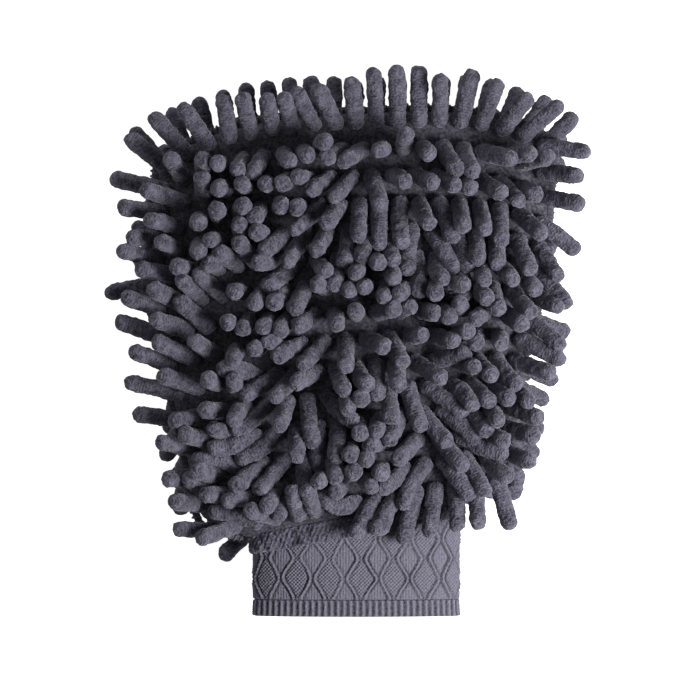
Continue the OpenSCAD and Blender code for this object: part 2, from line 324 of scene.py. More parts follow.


# by the names of their slots
# the chenille and the cuff yarn run from their first colour, painted shade in the hollows, to their second,
# their own colour where raised
materials = {
    "chenille": yarn_material("chenille", (0.012, 0.0115, 0.017), (0.205, 0.196, 0.257), grain_size=1.1 * MM,
                              relief_share=0.5, sheen=0.3, bump_height=0.55 * MM, ridge_share=0.28),
    "cuff_yarn": yarn_material("cuff_yarn", (0.03, 0.029, 0.038), (0.215, 0.208, 0.262), grain_size=0.9 * MM,
                               relief_share=0.72, sheen=0.06, bump_height=0.12 * MM),
    "overlock_thread": yarn_material("overlock_thread", (0.05, 0.048, 0.06), (0.14, 0.135, 0.17),
                                     grain_size=0.8 * MM, relief_share=0.5, sheen=0.06,
                                     bump_height=0.12 * MM),
    "backing_cloth": cloth_material("backing_cloth", (0.034, 0.0325, 0.041), (0.108, 0.105, 0.130)),
    "lining_cloth": cloth_material("lining_cloth", (0.07, 0.067, 0.082), (0.1, 0.096, 0.115)),
    "elastic": new_material("elastic", (0.6, 0.6, 0.58), 0.6)[0],
}


def take_place(piece, node, slot):
    """Puts a piece in the place of a CAD node, in the material of its slot."""
    piece.data.materials.append(materials[slot])
    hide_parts(node)
    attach(piece, "root")


# ---- The pile, read from the CAD rows ----------------------------------------------------------------------
ROWS = sorted(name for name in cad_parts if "_row_" in name)


def tree_of(node):
    points, triangles = arrays_of(node)
    return BVHTree.FromPolygons([Vector(p) for p in points], triangles.tolist())


cloth_trees = {"front": tree_of("front_backing"), "rear": tree_of("rear_backing")}


def outward(face, place):
    """The nearest place on a backing panel's outside, and the way that it faces."""
    nearest, normal, _, _ = cloth_trees[face].find_nearest(Vector(place))
    return np.array(nearest), np.array(normal)


def read_pile():
    """Root, direction, straight length, row and face of every CAD finger."""
    strands = []
    for row in ROWS:
        face = row.split("_")[0]
        points, triangles = arrays_of(row)
        for island in islands_of(points, triangles):
            cloud = points[island]
            middle = cloud.mean(axis=0)
            axis = np.linalg.svd(cloud - middle, full_matrices=False)[2][0]
            along = (cloud - middle) @ axis
            ends = [middle + axis * along.min(), middle + axis * along.max()]
            gaps = [np.linalg.norm(end - outward(face, end)[0]) for end in ends]
            if gaps[0] > gaps[1]:
                ends.reverse()
            length = np.linalg.norm(ends[1] - ends[0])
            way = (ends[1] - ends[0]) / length
            root = ends[0] + way * TOUCH_RADIUS
            straight = length - 2 * TOUCH_RADIUS
            strands.append({"row": row, "face": face, "root": root, "way": way, "length": straight})
    return strands


strands = read_pile()
roots = np.array([s["root"] for s in strands])
ways = np.array([s["way"] for s in strands])
lengths = np.array([s["length"] for s in strands])
is_front = np.array([s["face"] == "front" for s in strands])
row_of = np.array([s["row"] for s in strands])
normals = np.array([outward(s["face"], s["root"])[1] for s in strands])


# ---- Letting the pile fall into place ----------------------------------------------------------------------
# Headings are in degrees, 0 to the right and 90 to the closed end. A lie is 0 for a finger on end and 1 for
# one that lies flat. Some rows have stations of their own: how far across in millimetres, the heading and the
# lie. The last rows fan out over the closed end, and the front's first row lies over the wrist seam.
FRONT_STATIONS = {
    "front_row_15": (
        (-83, 146, 0.97), (-73, 128, 0.95), (-64, 118, 0.93), (-54, 106, 0.7), (-45, 105, 0.62),
        (-35, 105, 0.6), (-26, 116, 0.6), (-16, 120, 0.7), (-7, 120, 0.75), (3, 97, 0.88), (12, 96, 0.9),
        (22, 93, 0.95), (31, 90, 0.97), (41, 84, 0.75), (50, 75, 0.93), (60, 66, 0.85), (69, 55, 0.72),
        (79, 40, 0.87), (88, -3, 0.95),
    ),
    "front_row_01": (
        (-62, 174, 0.6), (-53, 182, 0.72), (-46, 165, 0.8), (-41, 180, 0.9), (-35, 130, 0.5),
        (-30, 110, 0.5), (-5, 100, 0.45), (6, 190, 0.8), (13, 215, 0.9), (22, 228, 0.93), (31, 240, 0.93),
        (40, 262, 0.93), (49, 278, 0.95), (59, 280, 0.98), (68, 279, 0.99),
    ),
}
# The rear's first row is folded under the bag, but for one finger that shows beside the cuff. The second is
# folded under at its left end only.
REAR_STATIONS = {
    "rear_row_01": ((-51, 90, 0.7), (-47, 228, 0.99), (-39, 228, 0.99), (-35, 90, 0.7)),
    "rear_row_02": ((-66, 110, 0.7), (-50, 150, 0.8), (-35, 215, 0.97), (-15, 262, 0.97), (60, 280, 0.97)),
    "rear_row_15": (
        (-83, 132, 0.98), (-72, 106, 0.99), (-45, 97, 0.99), (-25, 95, 0.99), (0, 90, 0.9), (40, 85, 0.9),
        (65, 72, 0.95), (80, 57, 0.97), (88, 47, 0.95),
    ),
}
# The rest of the front pile is combed by strokes: a place in millimetres across and along the mitt, the
# heading of the fingers there and their lie.
COMBING = (
    # stubs below the fan
    (-37, 80, 200, 0.25), (-17, 84, 0, 0.1), (-1, 84, 180, 0.45), (24, 84, 60, 0.3), (42, 82, -60, 0.45),
    (64, 77, -30, 0.45), (80, 73, -20, 0.5),
    # upper left
    (-84, 74, 175, 0.83), (-66, 76, 105, 0.45), (-50, 66, 0, 0), (-35, 68, 0, 0), (-59, 55, 0, 0),
    (-41, 55, 0, 0), (-75, 55, 170, 0.4), (-86, 62, 180, 0.95), (-71, 41, 190, 0.2), (-12, 68, 215, 0.75),
    (-19, 55, 205, 0.8), (-26, 44, 195, 0.85), (-37, 21, 230, 0.75), (-44, 32, 150, 0.75),
    (-55, 23, 125, 0.75), (-64, 14, 125, 0.8), (-82, 39, 178, 0.9), (-86, 21, 178, 0.9), (-89, 3, 170, 0.95),
    (-71, 3, 165, 0.85), (-73, -15, 172, 0.85), (-84, -19, 172, 0.95), (-50, 5, 0, 0), (-35, 8, 0, 0),
    (-59, -13, 0, 0.1), (-59, -28, 150, 0.2), (-48, -28, 160, 0.5),
    # upper right
    (10, 75, 265, 0.6), (10, 59, 268, 0.9), (19, 55, 266, 0.9), (37, 59, 278, 0.7), (60, 59, 280, 0.7),
    (78, 55, 290, 0.75), (37, 39, 280, 0.6), (60, 37, 282, 0.6), (80, 37, 300, 0.75), (87, 21, 335, 0.9),
    (89, 48, 325, 0.9),
    # middle
    (-10, 28, 0, 0.05), (-13, 42, 300, 0.8), (10, 21, 0, 0.05), (28, 21, 300, 0.2), (46, 12, 0, 0.05),
    (67, 17, 285, 0.5), (8, 7, 350, 0.7), (-12, 1, 235, 0.8), (-21, -10, 215, 0.6), (-32, -15, 195, 0.75),
    (6, -8, 265, 0.85), (17, -13, 255, 0.85), (6, -26, 0, 0), (22, -24, 270, 0.85), (29, -5, 0, 0.8),
    (40, -22, 335, 0.85), (46, -37, 338, 0.85), (60, -4, 300, 0.4), (69, -17, 290, 0.6), (64, -28, 0, 0.4),
    (82, -6, 340, 0.9), (80, -22, 330, 0.9), (76, -37, 330, 0.9), (60, -46, 0, 0.7),
    # lower
    (-38, -32, 225, 0.85), (-26, -30, 250, 0.85), (-10, -24, 322, 0.7), (-10, -37, 275, 0.85),
    (-18, -42, 275, 0.9), (-35, -46, 210, 0.9), (-28, -58, 225, 0.9), (-41, -55, 185, 0.8),
    (-59, -42, 175, 0.6), (-77, -33, 175, 0.9), (-71, -51, 168, 0.8), (-55, -60, 158, 0.7),
    (-37, -69, 180, 0.9), (-53, -71, 155, 0.75), (-21, -73, 228, 0.95), (-10, -50, 300, 0.85),
    (-7, -64, 80, 0.4), (6, -51, 200, 0.5), (26, -49, 197, 0.9), (10, -57, 355, 0.85), (22, -65, 233, 0.9),
    (34, -71, 258, 0.95), (45, -55, 298, 0.9), (49, -49, 300, 0.9), (45, -73, 272, 0.95),
    (55, -78, 275, 0.95), (67, -76, 300, 0.95), (67, -58, 325, 0.9), (1, -66, 60, 0.3),
    # the fingers that stand out at the right and the left edge
    (90, 78, 0, 0.97), (90, 66, -26, 0.95), (89, 55, -32, 0.87), (89, 43, -35, 0.84), (89, 32, -35, 0.84),
    (-64, -62, 160, 0.35), (-66, -50, 170, 0.65), (-77, -38, 178, 0.95), (-80, -28, 175, 0.97),
    # tips that bunch together
    (16, 33, 270, 0.3), (0, 12, 90, 0.25), (37, 4, 60, 0.3), (56, 6, 150, 0.2), (34, 14, 0, 0.1),
    (-43, 18, 290, 0.3), (-29, -2, 130, 0.25), (-44, 80, 290, 0.2), (-26, 78, 250, 0.2), (-24, 66, 0, 0.1),
    (-54, 44, 70, 0.3), (-41, 44, 100, 0.3), (-59, 66, 320, 0.2), (-27, 28, 268, 0.7),
)
COMB_REACH = 7 * MM  # how far from its place a stroke still counts
FAR_SHARE = 1e-9  # lets the nearest strokes decide where no stroke reaches
REAR_DROOP = 1.25  # how much lower the rear fingers lie than in the CAD
LEAST_UPRIGHT = 0.2
REAR_PARTING = 24 * MM  # half the width of the parting across the middle of the rear pile
REAR_PARTING_TURN = math.pi / 2
REAR_STRAY = 0.5
STRAY_LEAN = 0.26  # how far single fingers of the front pile stray from how they are combed
FAN_TIDINESS = 0.4  # the fan strays only this much of the rest
FLATTEST_LIE = 0.99
# each step pulls the fingers towards the way they want to point, lets them sag, straightens them, and pushes
# them off each other, off the bag and off the floor
FIRST_PULL = 0.06
LAST_PULL = 0.004
SAG = 0.02 * MM
STRAIGHTEN_SHARE = 0.25
PUSH_SHARE = 0.35
STEPS_PER_SEARCH = 6
STEPS_PER_CLOTH_PUSH = 5
LAST_CLOTH_PUSHES = 7


def combed_lean(places):
    """The lean that the comb strokes give at each place: a direction in the plane, from 0 to 1 long."""
    strokes = np.array(COMBING)
    heading = np.radians(strokes[:, 2])
    leans = np.stack([np.cos(heading), np.sin(heading)], 1) * strokes[:, 3:]
    gaps = np.linalg.norm(places[:, None, :2] - strokes[None, :, :2] * MM, axis=2)
    weight = np.exp(-((gaps / COMB_REACH) ** 2) / 2) + FAR_SHARE / np.maximum(gaps, 0.1 * MM) ** 2
    return weight @ leans / weight.sum(axis=1, keepdims=True)


def row_lean(stations):
    """The lean of each finger if its row is combed by these stations across it."""
    across, heading, lie = np.array(stations).T
    places = roots[:, 0] / MM
    turned = np.radians(np.interp(places, across, heading))
    return np.stack([np.cos(turned), np.sin(turned)], 1) * np.interp(places, across, lie)[:, None]


def rear_ways():
    """The way each finger wants to point if it is a rear one: as in the CAD, but lower and less tidy."""
    upright = np.sum(ways * normals, axis=1, keepdims=True)
    drooped = REAR_DROOP * (ways / np.maximum(upright, LEAST_UPRIGHT) - normals)
    # near the middle, where the rear pile parts, it is pressed sideways, and everywhere it strays a little
    swirl = REAR_PARTING_TURN * np.exp(-((roots[:, 1] / REAR_PARTING) ** 2))
    swirl += REAR_STRAY * (noise(roots, 24 * MM, 61) + noise(roots, 4 * MM, 62))
    along, down = drooped[:, 1], drooped[:, 2]
    rear = unit(normals + np.stack([-along * np.sin(swirl), along * np.cos(swirl), down], 1))
    for row, stations in REAR_STATIONS.items():
        lean = row_lean(stations)
        own_way = np.concatenate([lean, -np.sqrt(1 - np.sum(lean**2, axis=1, keepdims=True))], 1)
        rear = np.where((row_of == row)[:, None], own_way, rear)
    return rear


def front_ways():
    """The way each finger wants to point if it is a front one: as it is combed, but straying a little."""
    lean = combed_lean(roots)
    for row, stations in FRONT_STATIONS.items():
        lean = np.where((row_of == row)[:, None], row_lean(stations), lean)
    stray = STRAY_LEAN * rng.uniform(-1, 1, (len(roots), 2))
    lean += np.where((row_of == "front_row_15")[:, None], stray * FAN_TIDINESS, stray)
    amount = np.minimum(np.linalg.norm(lean, axis=1, keepdims=True), FLATTEST_LIE)
    flat = np.concatenate([unit(lean), np.zeros((len(roots), 1))], 1)
    return unit(flat * amount + UP * np.sqrt(1 - amount**2))


def close_pairs(points, owner, reach):
    """Pairs of points of different fingers that lie within reach, found through a grid of cells."""
    cell = np.floor(points / reach).astype(np.int64)
    table = {}
    for number, key in enumerate(map(tuple, cell)):
        table.setdefault(key, []).append(number)
    steps = [(x, y, z) for x in (-1, 0, 1) for y in (-1, 0, 1) for z in (-1, 0, 1)]
    first, second = [], []
    for key, members in table.items():
        around = [(key[0] + x, key[1] + y, key[2] + z) for x, y, z in steps]
        near = [n for cell_key in around for n in table.get(cell_key, ())]
        a = np.repeat(members, len(near))
        b = np.tile(near, len(members))
        keep = (a < b) & (owner[a] != owner[b])
        first.append(a[keep])
        second.append(b[keep])
    return np.concatenate(first), np.concatenate(second)


def push_apart(points, pairs):
    """Moves points of different fingers that are nearer than two cores away from each other."""
    first, second = pairs
    between = points[first] - points[second]
    gap = np.linalg.norm(between, axis=1)
    hit = gap < 2 * TOUCH_RADIUS
    push = between[hit] / gap[hit, None] * (2 * TOUCH_RADIUS - gap[hit])[:, None] * PUSH_SHARE
    np.add.at(points, first[hit], push)
    np.add.at(points, second[hit], -push)


def push_out_of_cloth(points, faces):
    """Moves points that are nearer than a finger's core to the bag back to its surface."""
    for number, face in enumerate(faces):
        nearest, normal = outward(face, points[number])
        height = (points[number] - nearest) @ normal
        if height < TOUCH_RADIUS:
            points[number] += normal * (TOUCH_RADIUS - height)


def straight_lines(directions, share):
    """Each finger's centre line if it points straight that way, as points at those shares of its length."""
    return roots[:, None] + directions[:, None] * (share[None, :, None] * lengths[:, None, None])


def settle_pile():
    """Centre lines of all fingers, after each has leaned its own way and been kept off its neighbours."""
    count = len(strands)
    share = np.linspace(0, 1, CHAIN_POINTS)
    step = (lengths / (CHAIN_POINTS - 1))[:, None]
    goal_lines = straight_lines(np.where(is_front[:, None], front_ways(), rear_ways()), share)
    lines = straight_lines(ways, share)
    owner = np.repeat(np.arange(count), CHAIN_POINTS)
    faces = [strands[n]["face"] for n in owner]
    for turn in range(SETTLE_STEPS):
        late = turn / SETTLE_STEPS
        pull = FIRST_PULL * (1 - late) + LAST_PULL
        lines[:, 1:] += (goal_lines[:, 1:] - lines[:, 1:]) * pull
        lines[:, 1:, 2] -= SAG * (1 - late)
        # straighten: each inner point moves towards the middle of its neighbours
        lines[:, 1:-1] += ((lines[:, :-2] + lines[:, 2:]) / 2 - lines[:, 1:-1]) * STRAIGHTEN_SHARE
        points = lines.reshape(-1, 3)
        if turn % STEPS_PER_SEARCH == 0:
            pairs = close_pairs(points, owner, 4 * TOUCH_RADIUS)
        push_apart(points, pairs)
        if (turn + 1) % STEPS_PER_CLOTH_PUSH == 0 or turn >= SETTLE_STEPS - LAST_CLOTH_PUSHES:
            push_out_of_cloth(points, faces)
        points[:, 2] = np.maximum(points[:, 2], TOUCH_RADIUS)
        lines = points.reshape(count, CHAIN_POINTS, 3)
        # keep every piece of a finger at its own length, from the fixed root outwards
        lines[:, 0] = roots
        for place in range(1, CHAIN_POINTS):
            lines[:, place] = lines[:, place - 1] + unit(lines[:, place] - lines[:, place - 1]) * step
    return lines


pile_lines = settle_pile()


# ---- Finger meshes -----------------------------------------------------------------------------------------
TANGENT_STEP = 0.02  # how far to both sides a finger's direction is read, as a share of its length
SKEW = np.array([0.31, 0.17, 0.93])  # tilts a direction, so that a way square to it can be found
SMALLEST_RING = 0.02  # at the poles of the end caps, as a share of the radius
UV_MARGIN = 0.02


def fine_line(line, places):
    """Points along a smooth curve through a chain, at places from 0 to 1."""
    last = len(line) - 1
    padded = np.vstack([2 * line[0] - line[1], line, 2 * line[-1] - line[-2]])
    span = np.minimum(np.floor(places * last).astype(int), last - 1)
    u = (places * last - span)[:, None]
    p0, p1, p2, p3 = (padded[span + k] for k in range(4))
    return 0.5 * (2 * p1 + (p2 - p0) * u + (2 * p0 - 5 * p1 + 4 * p2 - p3) * u**2
                  + (3 * p1 - p0 - 3 * p2 + p3) * u**3)


def finger_points(line, length, fatness, turn):
    """One fuzzy finger round its centre line: points in rings from root to tip."""
    radius = FINGER_RADIUS * fatness
    # rings are even along the outside, round both end caps
    cap = radius * math.pi / 2
    walk = np.linspace(0, length + 2 * cap, RINGS)
    root_angle = np.clip(1 - walk / cap, 0, 1) * math.pi / 2
    tip_angle = np.clip((walk - cap - length) / cap, 0, 1) * math.pi / 2
    along = np.clip(walk - cap, 0, length)
    shift = radius * (np.sin(tip_angle) - np.sin(root_angle))
    ring_radius = radius * np.maximum(np.cos(root_angle) * np.cos(tip_angle), SMALLEST_RING)
    place = along / length
    core = fine_line(line, place)
    after = fine_line(line, np.minimum(place + TANGENT_STEP, 1))
    before = fine_line(line, np.maximum(place - TANGENT_STEP, 0))
    ahead = unit(after - before)
    centre = core + ahead * shift[:, None]
    side = unit(np.cross(ahead, ahead[0] + SKEW))
    spokes = spokes_round(side, np.cross(ahead, side), SIDES, turn)
    skin = centre[:, None] + spokes * ring_radius[:, None, None]
    face_way = unit(skin - core[:, None])
    flat = skin.reshape(-1, 3)
    height = LUMP_HEIGHT * noise(flat, LUMP_SIZE, 21)
    height = height + FUZZ_HEIGHT * noise(flat, FUZZ_SIZE, 33)
    # painted shade: the colour is darker in the hollows of the lumps and fuzz, lighter on their tops
    raised = 0.5 + height / (LUMP_HEIGHT + FUZZ_HEIGHT) * RELIEF_SHADE_CONTRAST
    # painted shade: the colour is darker towards the root, where little light reaches deep in the pile
    raised *= np.repeat(PAINTED_ROOT_SHADE + (1 - PAINTED_ROOT_SHADE) * walk / walk[-1], SIDES)
    return flat + face_way.reshape(-1, 3) * height[:, None], raised, np.repeat(walk, SIDES)


def build_row(row):
    """All fingers of a row as one piece, each with its own patch of the UV map."""
    members = [n for n, s in enumerate(strands) if s["row"] == row]
    columns = math.ceil(math.sqrt(len(members)))
    quads, patch = strip_quads(RINGS, SIDES)
    points, raised, walks, all_quads, uv = [], [], [], [], []
    for number, member in enumerate(members):
        fatness = 1 + rng.uniform(-FATNESS_SPREAD, FATNESS_SPREAD)
        turn = rng.uniform(0, 2 * math.pi)
        skin, relief, walk = finger_points(pile_lines[member], lengths[member], fatness, turn)
        points.append(skin)
        raised.append(relief)
        walks.append(walk)
        all_quads.append(quads + number * RINGS * SIDES)
        corner = np.array([number % columns, number // columns])
        uv.append((corner + UV_MARGIN + (1 - 2 * UV_MARGIN) * patch) / columns)
    piece = mesh_object(row + "_chenille", np.vstack(points), np.vstack(all_quads), np.vstack(uv),
                        np.concatenate(raised), np.concatenate(walks))
    take_place(piece, row, "chenille")
    return piece


row_pieces = {row: build_row(row) for row in ROWS}


# ---- Cloth panels ------------------------------------------------------------------------------------------
CLOTH_CUTS = 3
CLOTH_SMOOTHING_ROUNDS = 4
BACKING_PUCKER = 0.25 * MM
LINING_PUCKER = 0.04 * MM


def cloth_from(node, slot, pucker):
    """A finer, slightly puckered cloth in the shape of a CAD panel."""
    name = node + "_cloth"
    points, triangles = arrays_of(node)
    form = bmesh.new()
    corners = [form.verts.new(p) for p in points]
    for triangle in triangles:
        form.faces.new([corners[k] for k in triangle])
    bmesh.ops.recalc_face_normals(form, faces=form.faces)
    bmesh.ops.join_triangles(form, faces=form.faces, angle_face_threshold=0.6, angle_shape_threshold=1.5,
                             cmp_seam=False, cmp_sharp=False, cmp_uvs=False, cmp_vcols=False,
                             cmp_materials=False)
    bmesh.ops.subdivide_edges(form, edges=form.edges, cuts=CLOTH_CUTS, use_grid_fill=True, smooth=0.0)
    for _ in range(CLOTH_SMOOTHING_ROUNDS):
        bmesh.ops.smooth_vert(form, verts=form.verts, factor=0.5,
                              use_axis_x=True, use_axis_y=True, use_axis_z=True)
    form.normal_update()
    places = np.array([v.co[:] for v in form.verts])
    lift = noise(places, 11 * MM, 5) + 0.5 * noise(places, 5 * MM, 6)
    for vertex, height in zip(form.verts, lift, strict=True):
        vertex.co += vertex.normal * float(height) * pucker
    for face in form.faces:
        face.smooth = True
    mesh = bpy.data.meshes.new(name)
    form.to_mesh(mesh)
    form.free()
    piece = bpy.data.objects.new(name, mesh)
    scene.collection.objects.link(piece)
    take_place(piece, node, slot)
    return piece


front_cloth = cloth_from("front_backing", "backing_cloth", BACKING_PUCKER)
rear_cloth = cloth_from("rear_backing", "backing_cloth", BACKING_PUCKER)
front_lining = cloth_from("front_lining", "lining_cloth", LINING_PUCKER)
rear_lining = cloth_from("rear_lining", "lining_cloth", LINING_PUCKER)


# ---- Knitted cuff ------------------------------------------------------------------------------------------
DIAMONDS_ROUND = 14
DIAMOND_HEIGHT = 18.1 * MM
FIRST_DIAMOND = 18.8 * MM  # from the welt up to the middle of a plain diamond
DIAMOND_TURN = 0.63  # where a plain diamond falls round the cuff, in diamonds
DIAMOND_BELLY = 0.37  # half the width of a plain diamond at its middle, in diamonds
DIAMOND_WAIST = 0.06  # half the gap between the two lines where they come together, in diamonds
LINE_BEND = 0.93  # 1 gives sharp corners in the lines, less gives round ones
LINE_HEIGHT = 0.8 * MM  # the raised lines between the diamonds
LINE_WIDTH = 0.5 * MM
CREASE_DEPTH = 0.45 * MM  # the hollows on both sides of a line
CREASE_PLACE = 1.1 * MM
CREASE_WIDTH = 0.45 * MM
LINE_WOBBLE = 0.035  # how far the lines stray, in diamonds
BEAD_PITCH = 1.7 * MM
BEAD_HEIGHT = 0.4 * MM
WALE_PITCH = 1.3 * MM
WALE_HEIGHT = 0.12 * MM
RIBS_ROUND = 72
RIB_HEIGHT = 0.65 * MM
RIB_STITCH_HEIGHT = 0.14 * MM
RIB_STITCH_PITCH = 1.1 * MM
WELT_STEP = 0.7 * MM  # how far the welt narrows towards the knitting above it
YARN_ROUGHNESS = 0.12 * MM
PURL_HEIGHT = 0.12 * MM  # the relief of the knitting's inside
SLACK = 0.5 * MM
END_ROUNDING = 1.0 * MM  # how long the rounding at a tube's ends is
END_TURN_IN = 0.4  # how far the ends turn in, as a share of the thickness
END_THINNING = 0.65
CUFF_COLUMNS = 660
HEM_WIDTH = 9.5 * MM
HEM_OVERLAP = 3 * MM  # how far the hem runs up onto the bag
HEM_LIFT = 0.6 * MM
HEM_STITCH_HEIGHT = 0.2 * MM
HEM_STITCH_PITCH = 2.1 * MM
HEM_STITCH_LENGTH = 5.5 * MM


def oval_walk(half_width, half_height, columns):
    """Angles round an oval at even distances along it, and the distance all round."""
    fine = np.linspace(0, 2 * math.pi, 4000)
    steps = np.hypot(half_width * np.diff(np.cos(fine)), half_height * np.diff(np.sin(fine)))
    walked = np.concatenate([[0], np.cumsum(steps)])
    return np.interp(np.arange(columns) / columns * walked[-1], walked, fine), walked[-1]


def oval_piece(name, node, slot, rows, columns, thickness, relief, top_line, bottom_line):
    """A tube along y round a CAD oval, with relief(share round, distance round, y) raised on its outside;
    relief also gives how light the colour is there, as painted shade.
    Its rows are those of its outside and those of its inside."""
    node_low, node_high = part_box(node)
    centre = (node_low + node_high) / 2
    half_width = (node_high.x - node_low.x) / 2
    half_height = (node_high.z - node_low.z) / 2
    angle, around = oval_walk(half_width, half_height, columns)
    share = np.arange(columns) / columns
    normal = unit(np.stack([np.cos(angle) / half_width, 0 * angle, np.sin(angle) / half_height], 1))
    base = np.stack([half_width * np.cos(angle), 0 * angle, half_height * np.sin(angle)], 1)
    base = base + np.array(centre)
    top, bottom = top_line(base[:, 0]), bottom_line(base[:, 0])
    length = np.abs(top - bottom).mean()
    rings, raised = [], []
    for place in np.linspace(0, 1, rows[0]):
        y = top + (bottom - top) * place
        height, relief_here = relief(share, share * around, y)
        # both ends turn in, so that the edge is round
        edge = min(min(place, 1 - place) * length / END_ROUNDING, 1)
        height = height * edge - (1 - math.sqrt(1 - (1 - edge) ** 2)) * thickness * END_TURN_IN
        ring = base + normal * height[:, None]
        ring[:, 1] = y
        rings.append(ring)
        raised.append(relief_here)
    # the inside runs back, and stops just short of both ends
    for place in np.linspace(1, 0, rows[1]):
        y = top + (bottom - top) * (0.01 + 0.98 * place)
        purl = np.sin(2 * math.pi * share * around / WALE_PITCH) * np.sin(2 * math.pi * y / BEAD_PITCH)
        depth = thickness * (END_THINNING if place in (0, 1) else 1) + PURL_HEIGHT * purl
        ring = base - normal * depth[:, None]
        ring[:, 1] = y
        rings.append(ring)
        raised.append(np.full(columns, 0.5))
    quads, uv = strip_quads(len(rings) + 1, columns)
    piece = mesh_object(name, np.vstack(rings), quads % (len(rings) * columns), uv, np.concatenate(raised))
    take_place(piece, node, slot)
    return piece


def slack(around, y):
    """The soft waviness of a knitted tube that lies loose."""
    return SLACK * noise(np.stack([around, y, 0 * y], 1), 26 * MM, 41)


def diamond_relief(share, around, y):
    """Pairs of raised zigzag lines that part round plain diamonds, hollows beside them and beads between."""
    place = np.stack([around, y, 0 * y], 1)
    across = share * DIAMONDS_ROUND + DIAMOND_TURN - 0.5 + LINE_WOBBLE * noise(place, 6 * MM, 51)
    along = (y - knit_low.y - FIRST_DIAMOND) / DIAMOND_HEIGHT + LINE_WOBBLE * noise(place, 7 * MM, 52)
    diamond_width = around[-1] / share[-1] / DIAMONDS_ROUND
    from_column = across - np.round(across)
    swing = np.arcsin(LINE_BEND * np.cos(2 * math.pi * along)) / math.asin(LINE_BEND)
    line_place = DIAMOND_WAIST + (DIAMOND_BELLY - DIAMOND_WAIST) * (1 + swing) / 2
    slant = 2 * (DIAMOND_BELLY - DIAMOND_WAIST) * diamond_width / DIAMOND_HEIGHT
    lines, crease = np.zeros(len(share)), np.zeros(len(share))
    for number, side in enumerate((-1, 1)):
        off = np.abs(side * from_column - line_place) * diamond_width / math.hypot(1, slant)
        # some lines stand up as ridges, others are only a string of raised stitches
        strength = 0.75 + 0.4 * noise(place, 9 * MM, 53 + number)
        knots = 0.75 + 0.25 * np.sin(2 * math.pi * y / BEAD_PITCH + number)
        lines = np.maximum(lines, strength * knots * np.exp(-((off / LINE_WIDTH) ** 2)))
        hollow = strength * np.exp(-(((off - CREASE_PLACE) / CREASE_WIDTH) ** 2))
        crease = np.maximum(crease, hollow)
    crease *= 1 - lines
    beaded = np.abs(from_column) > line_place
    beads = np.sin(2 * math.pi * around / BEAD_PITCH) * np.sin(2 * math.pi * y / BEAD_PITCH)
    wales = np.cos(2 * math.pi * around / WALE_PITCH)
    fill = np.where(beaded, BEAD_HEIGHT * beads, WALE_HEIGHT * wales) * (1 - lines) * (1 - crease)
    height = LINE_HEIGHT * lines - CREASE_DEPTH * crease + fill
    # painted shade: the colour is darker in the creases beside the lines and in the hollows of the beads,
    # lighter on the lines and beads
    raised = 0.72 + 0.28 * lines - 0.8 * crease + 0.4 * fill / BEAD_HEIGHT
    return height + YARN_ROUGHNESS * noise(place, 1.1 * MM, 8) + slack(around, y), raised


def rib_relief(share, around, y):
    """Ribs round the welt, with small stitches on their ridges."""
    ribs = np.cos(2 * math.pi * share * RIBS_ROUND)
    rough = np.stack([around, y, 0 * y], 1)
    stitches = RIB_STITCH_HEIGHT * np.sin(2 * math.pi * y / RIB_STITCH_PITCH) * (ribs > 0)
    flush = WELT_STEP * (y - welt_low.y) / (welt_high.y - welt_low.y)
    height = RIB_HEIGHT * (ribs - 1) / 2 + stitches + YARN_ROUGHNESS * noise(rough, 1.0 * MM, 9) - flush
    height += slack(around, y)
    # painted shade: the colour is darker in the grooves between the ribs
    return height, 0.5 + 0.5 * ribs


def hem_relief(share, around, y):
    """Overlock stitches slanting over a lumpy turned hem."""
    stitches = np.sin(2 * math.pi * (around / HEM_STITCH_PITCH + y / HEM_STITCH_LENGTH))
    place = np.stack([around, y, 0 * y], 1)
    fine = noise(place, 1.3 * MM, 13)
    lumps = 1.5 * MM * noise(place, 5.5 * MM, 12) + 0.5 * MM * fine
    # painted shade: the colour is lighter on the stitches and the fine lumps, darker between them
    return HEM_STITCH_HEIGHT * stitches + lumps + HEM_LIFT, 0.55 + 0.2 * stitches + 0.25 * fine


def level(value):
    """A line square across the mitt."""
    return lambda x: np.full(len(x), float(value))


def wrist_line(raise_by):
    """The sloping line of the wrist seam, read from how the hem's upper edge runs across."""
    points, _ = arrays_of("wrist_hem")
    left_x, right_x = points[:, 0].min(), points[:, 0].max()
    left_y = points[points[:, 0] < left_x + 2 * MM, 1].max()
    right_y = points[points[:, 0] > right_x - 2 * MM, 1].max()
    return lambda x: left_y + (right_y - left_y) * (x - left_x) / (right_x - left_x) + raise_by


knit_low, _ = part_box("cuff_knit")
welt_low, welt_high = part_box("cuff_welt")
cuff = oval_piece("cuff_knit_relief", "cuff_knit", "cuff_yarn", (150, 30), CUFF_COLUMNS, 1.9 * MM,
                  diamond_relief, wrist_line(0), level(knit_low.y))
oval_piece("cuff_welt_ribbed", "cuff_welt", "cuff_yarn", (30, 14), RIBS_ROUND * 12, 2.8 * MM,
           rib_relief, level(welt_high.y), level(welt_low.y))
hem = oval_piece("wrist_hem_stitched", "wrist_hem", "chenille", (26, 4), 480, 1.0 * MM,
                 hem_relief, wrist_line(HEM_OVERLAP), wrist_line(HEM_OVERLAP - HEM_WIDTH))
strands_in_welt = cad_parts["welt_elastic"]
strands_in_welt.data.materials.clear()
strands_in_welt.data.materials.append(materials["elastic"])


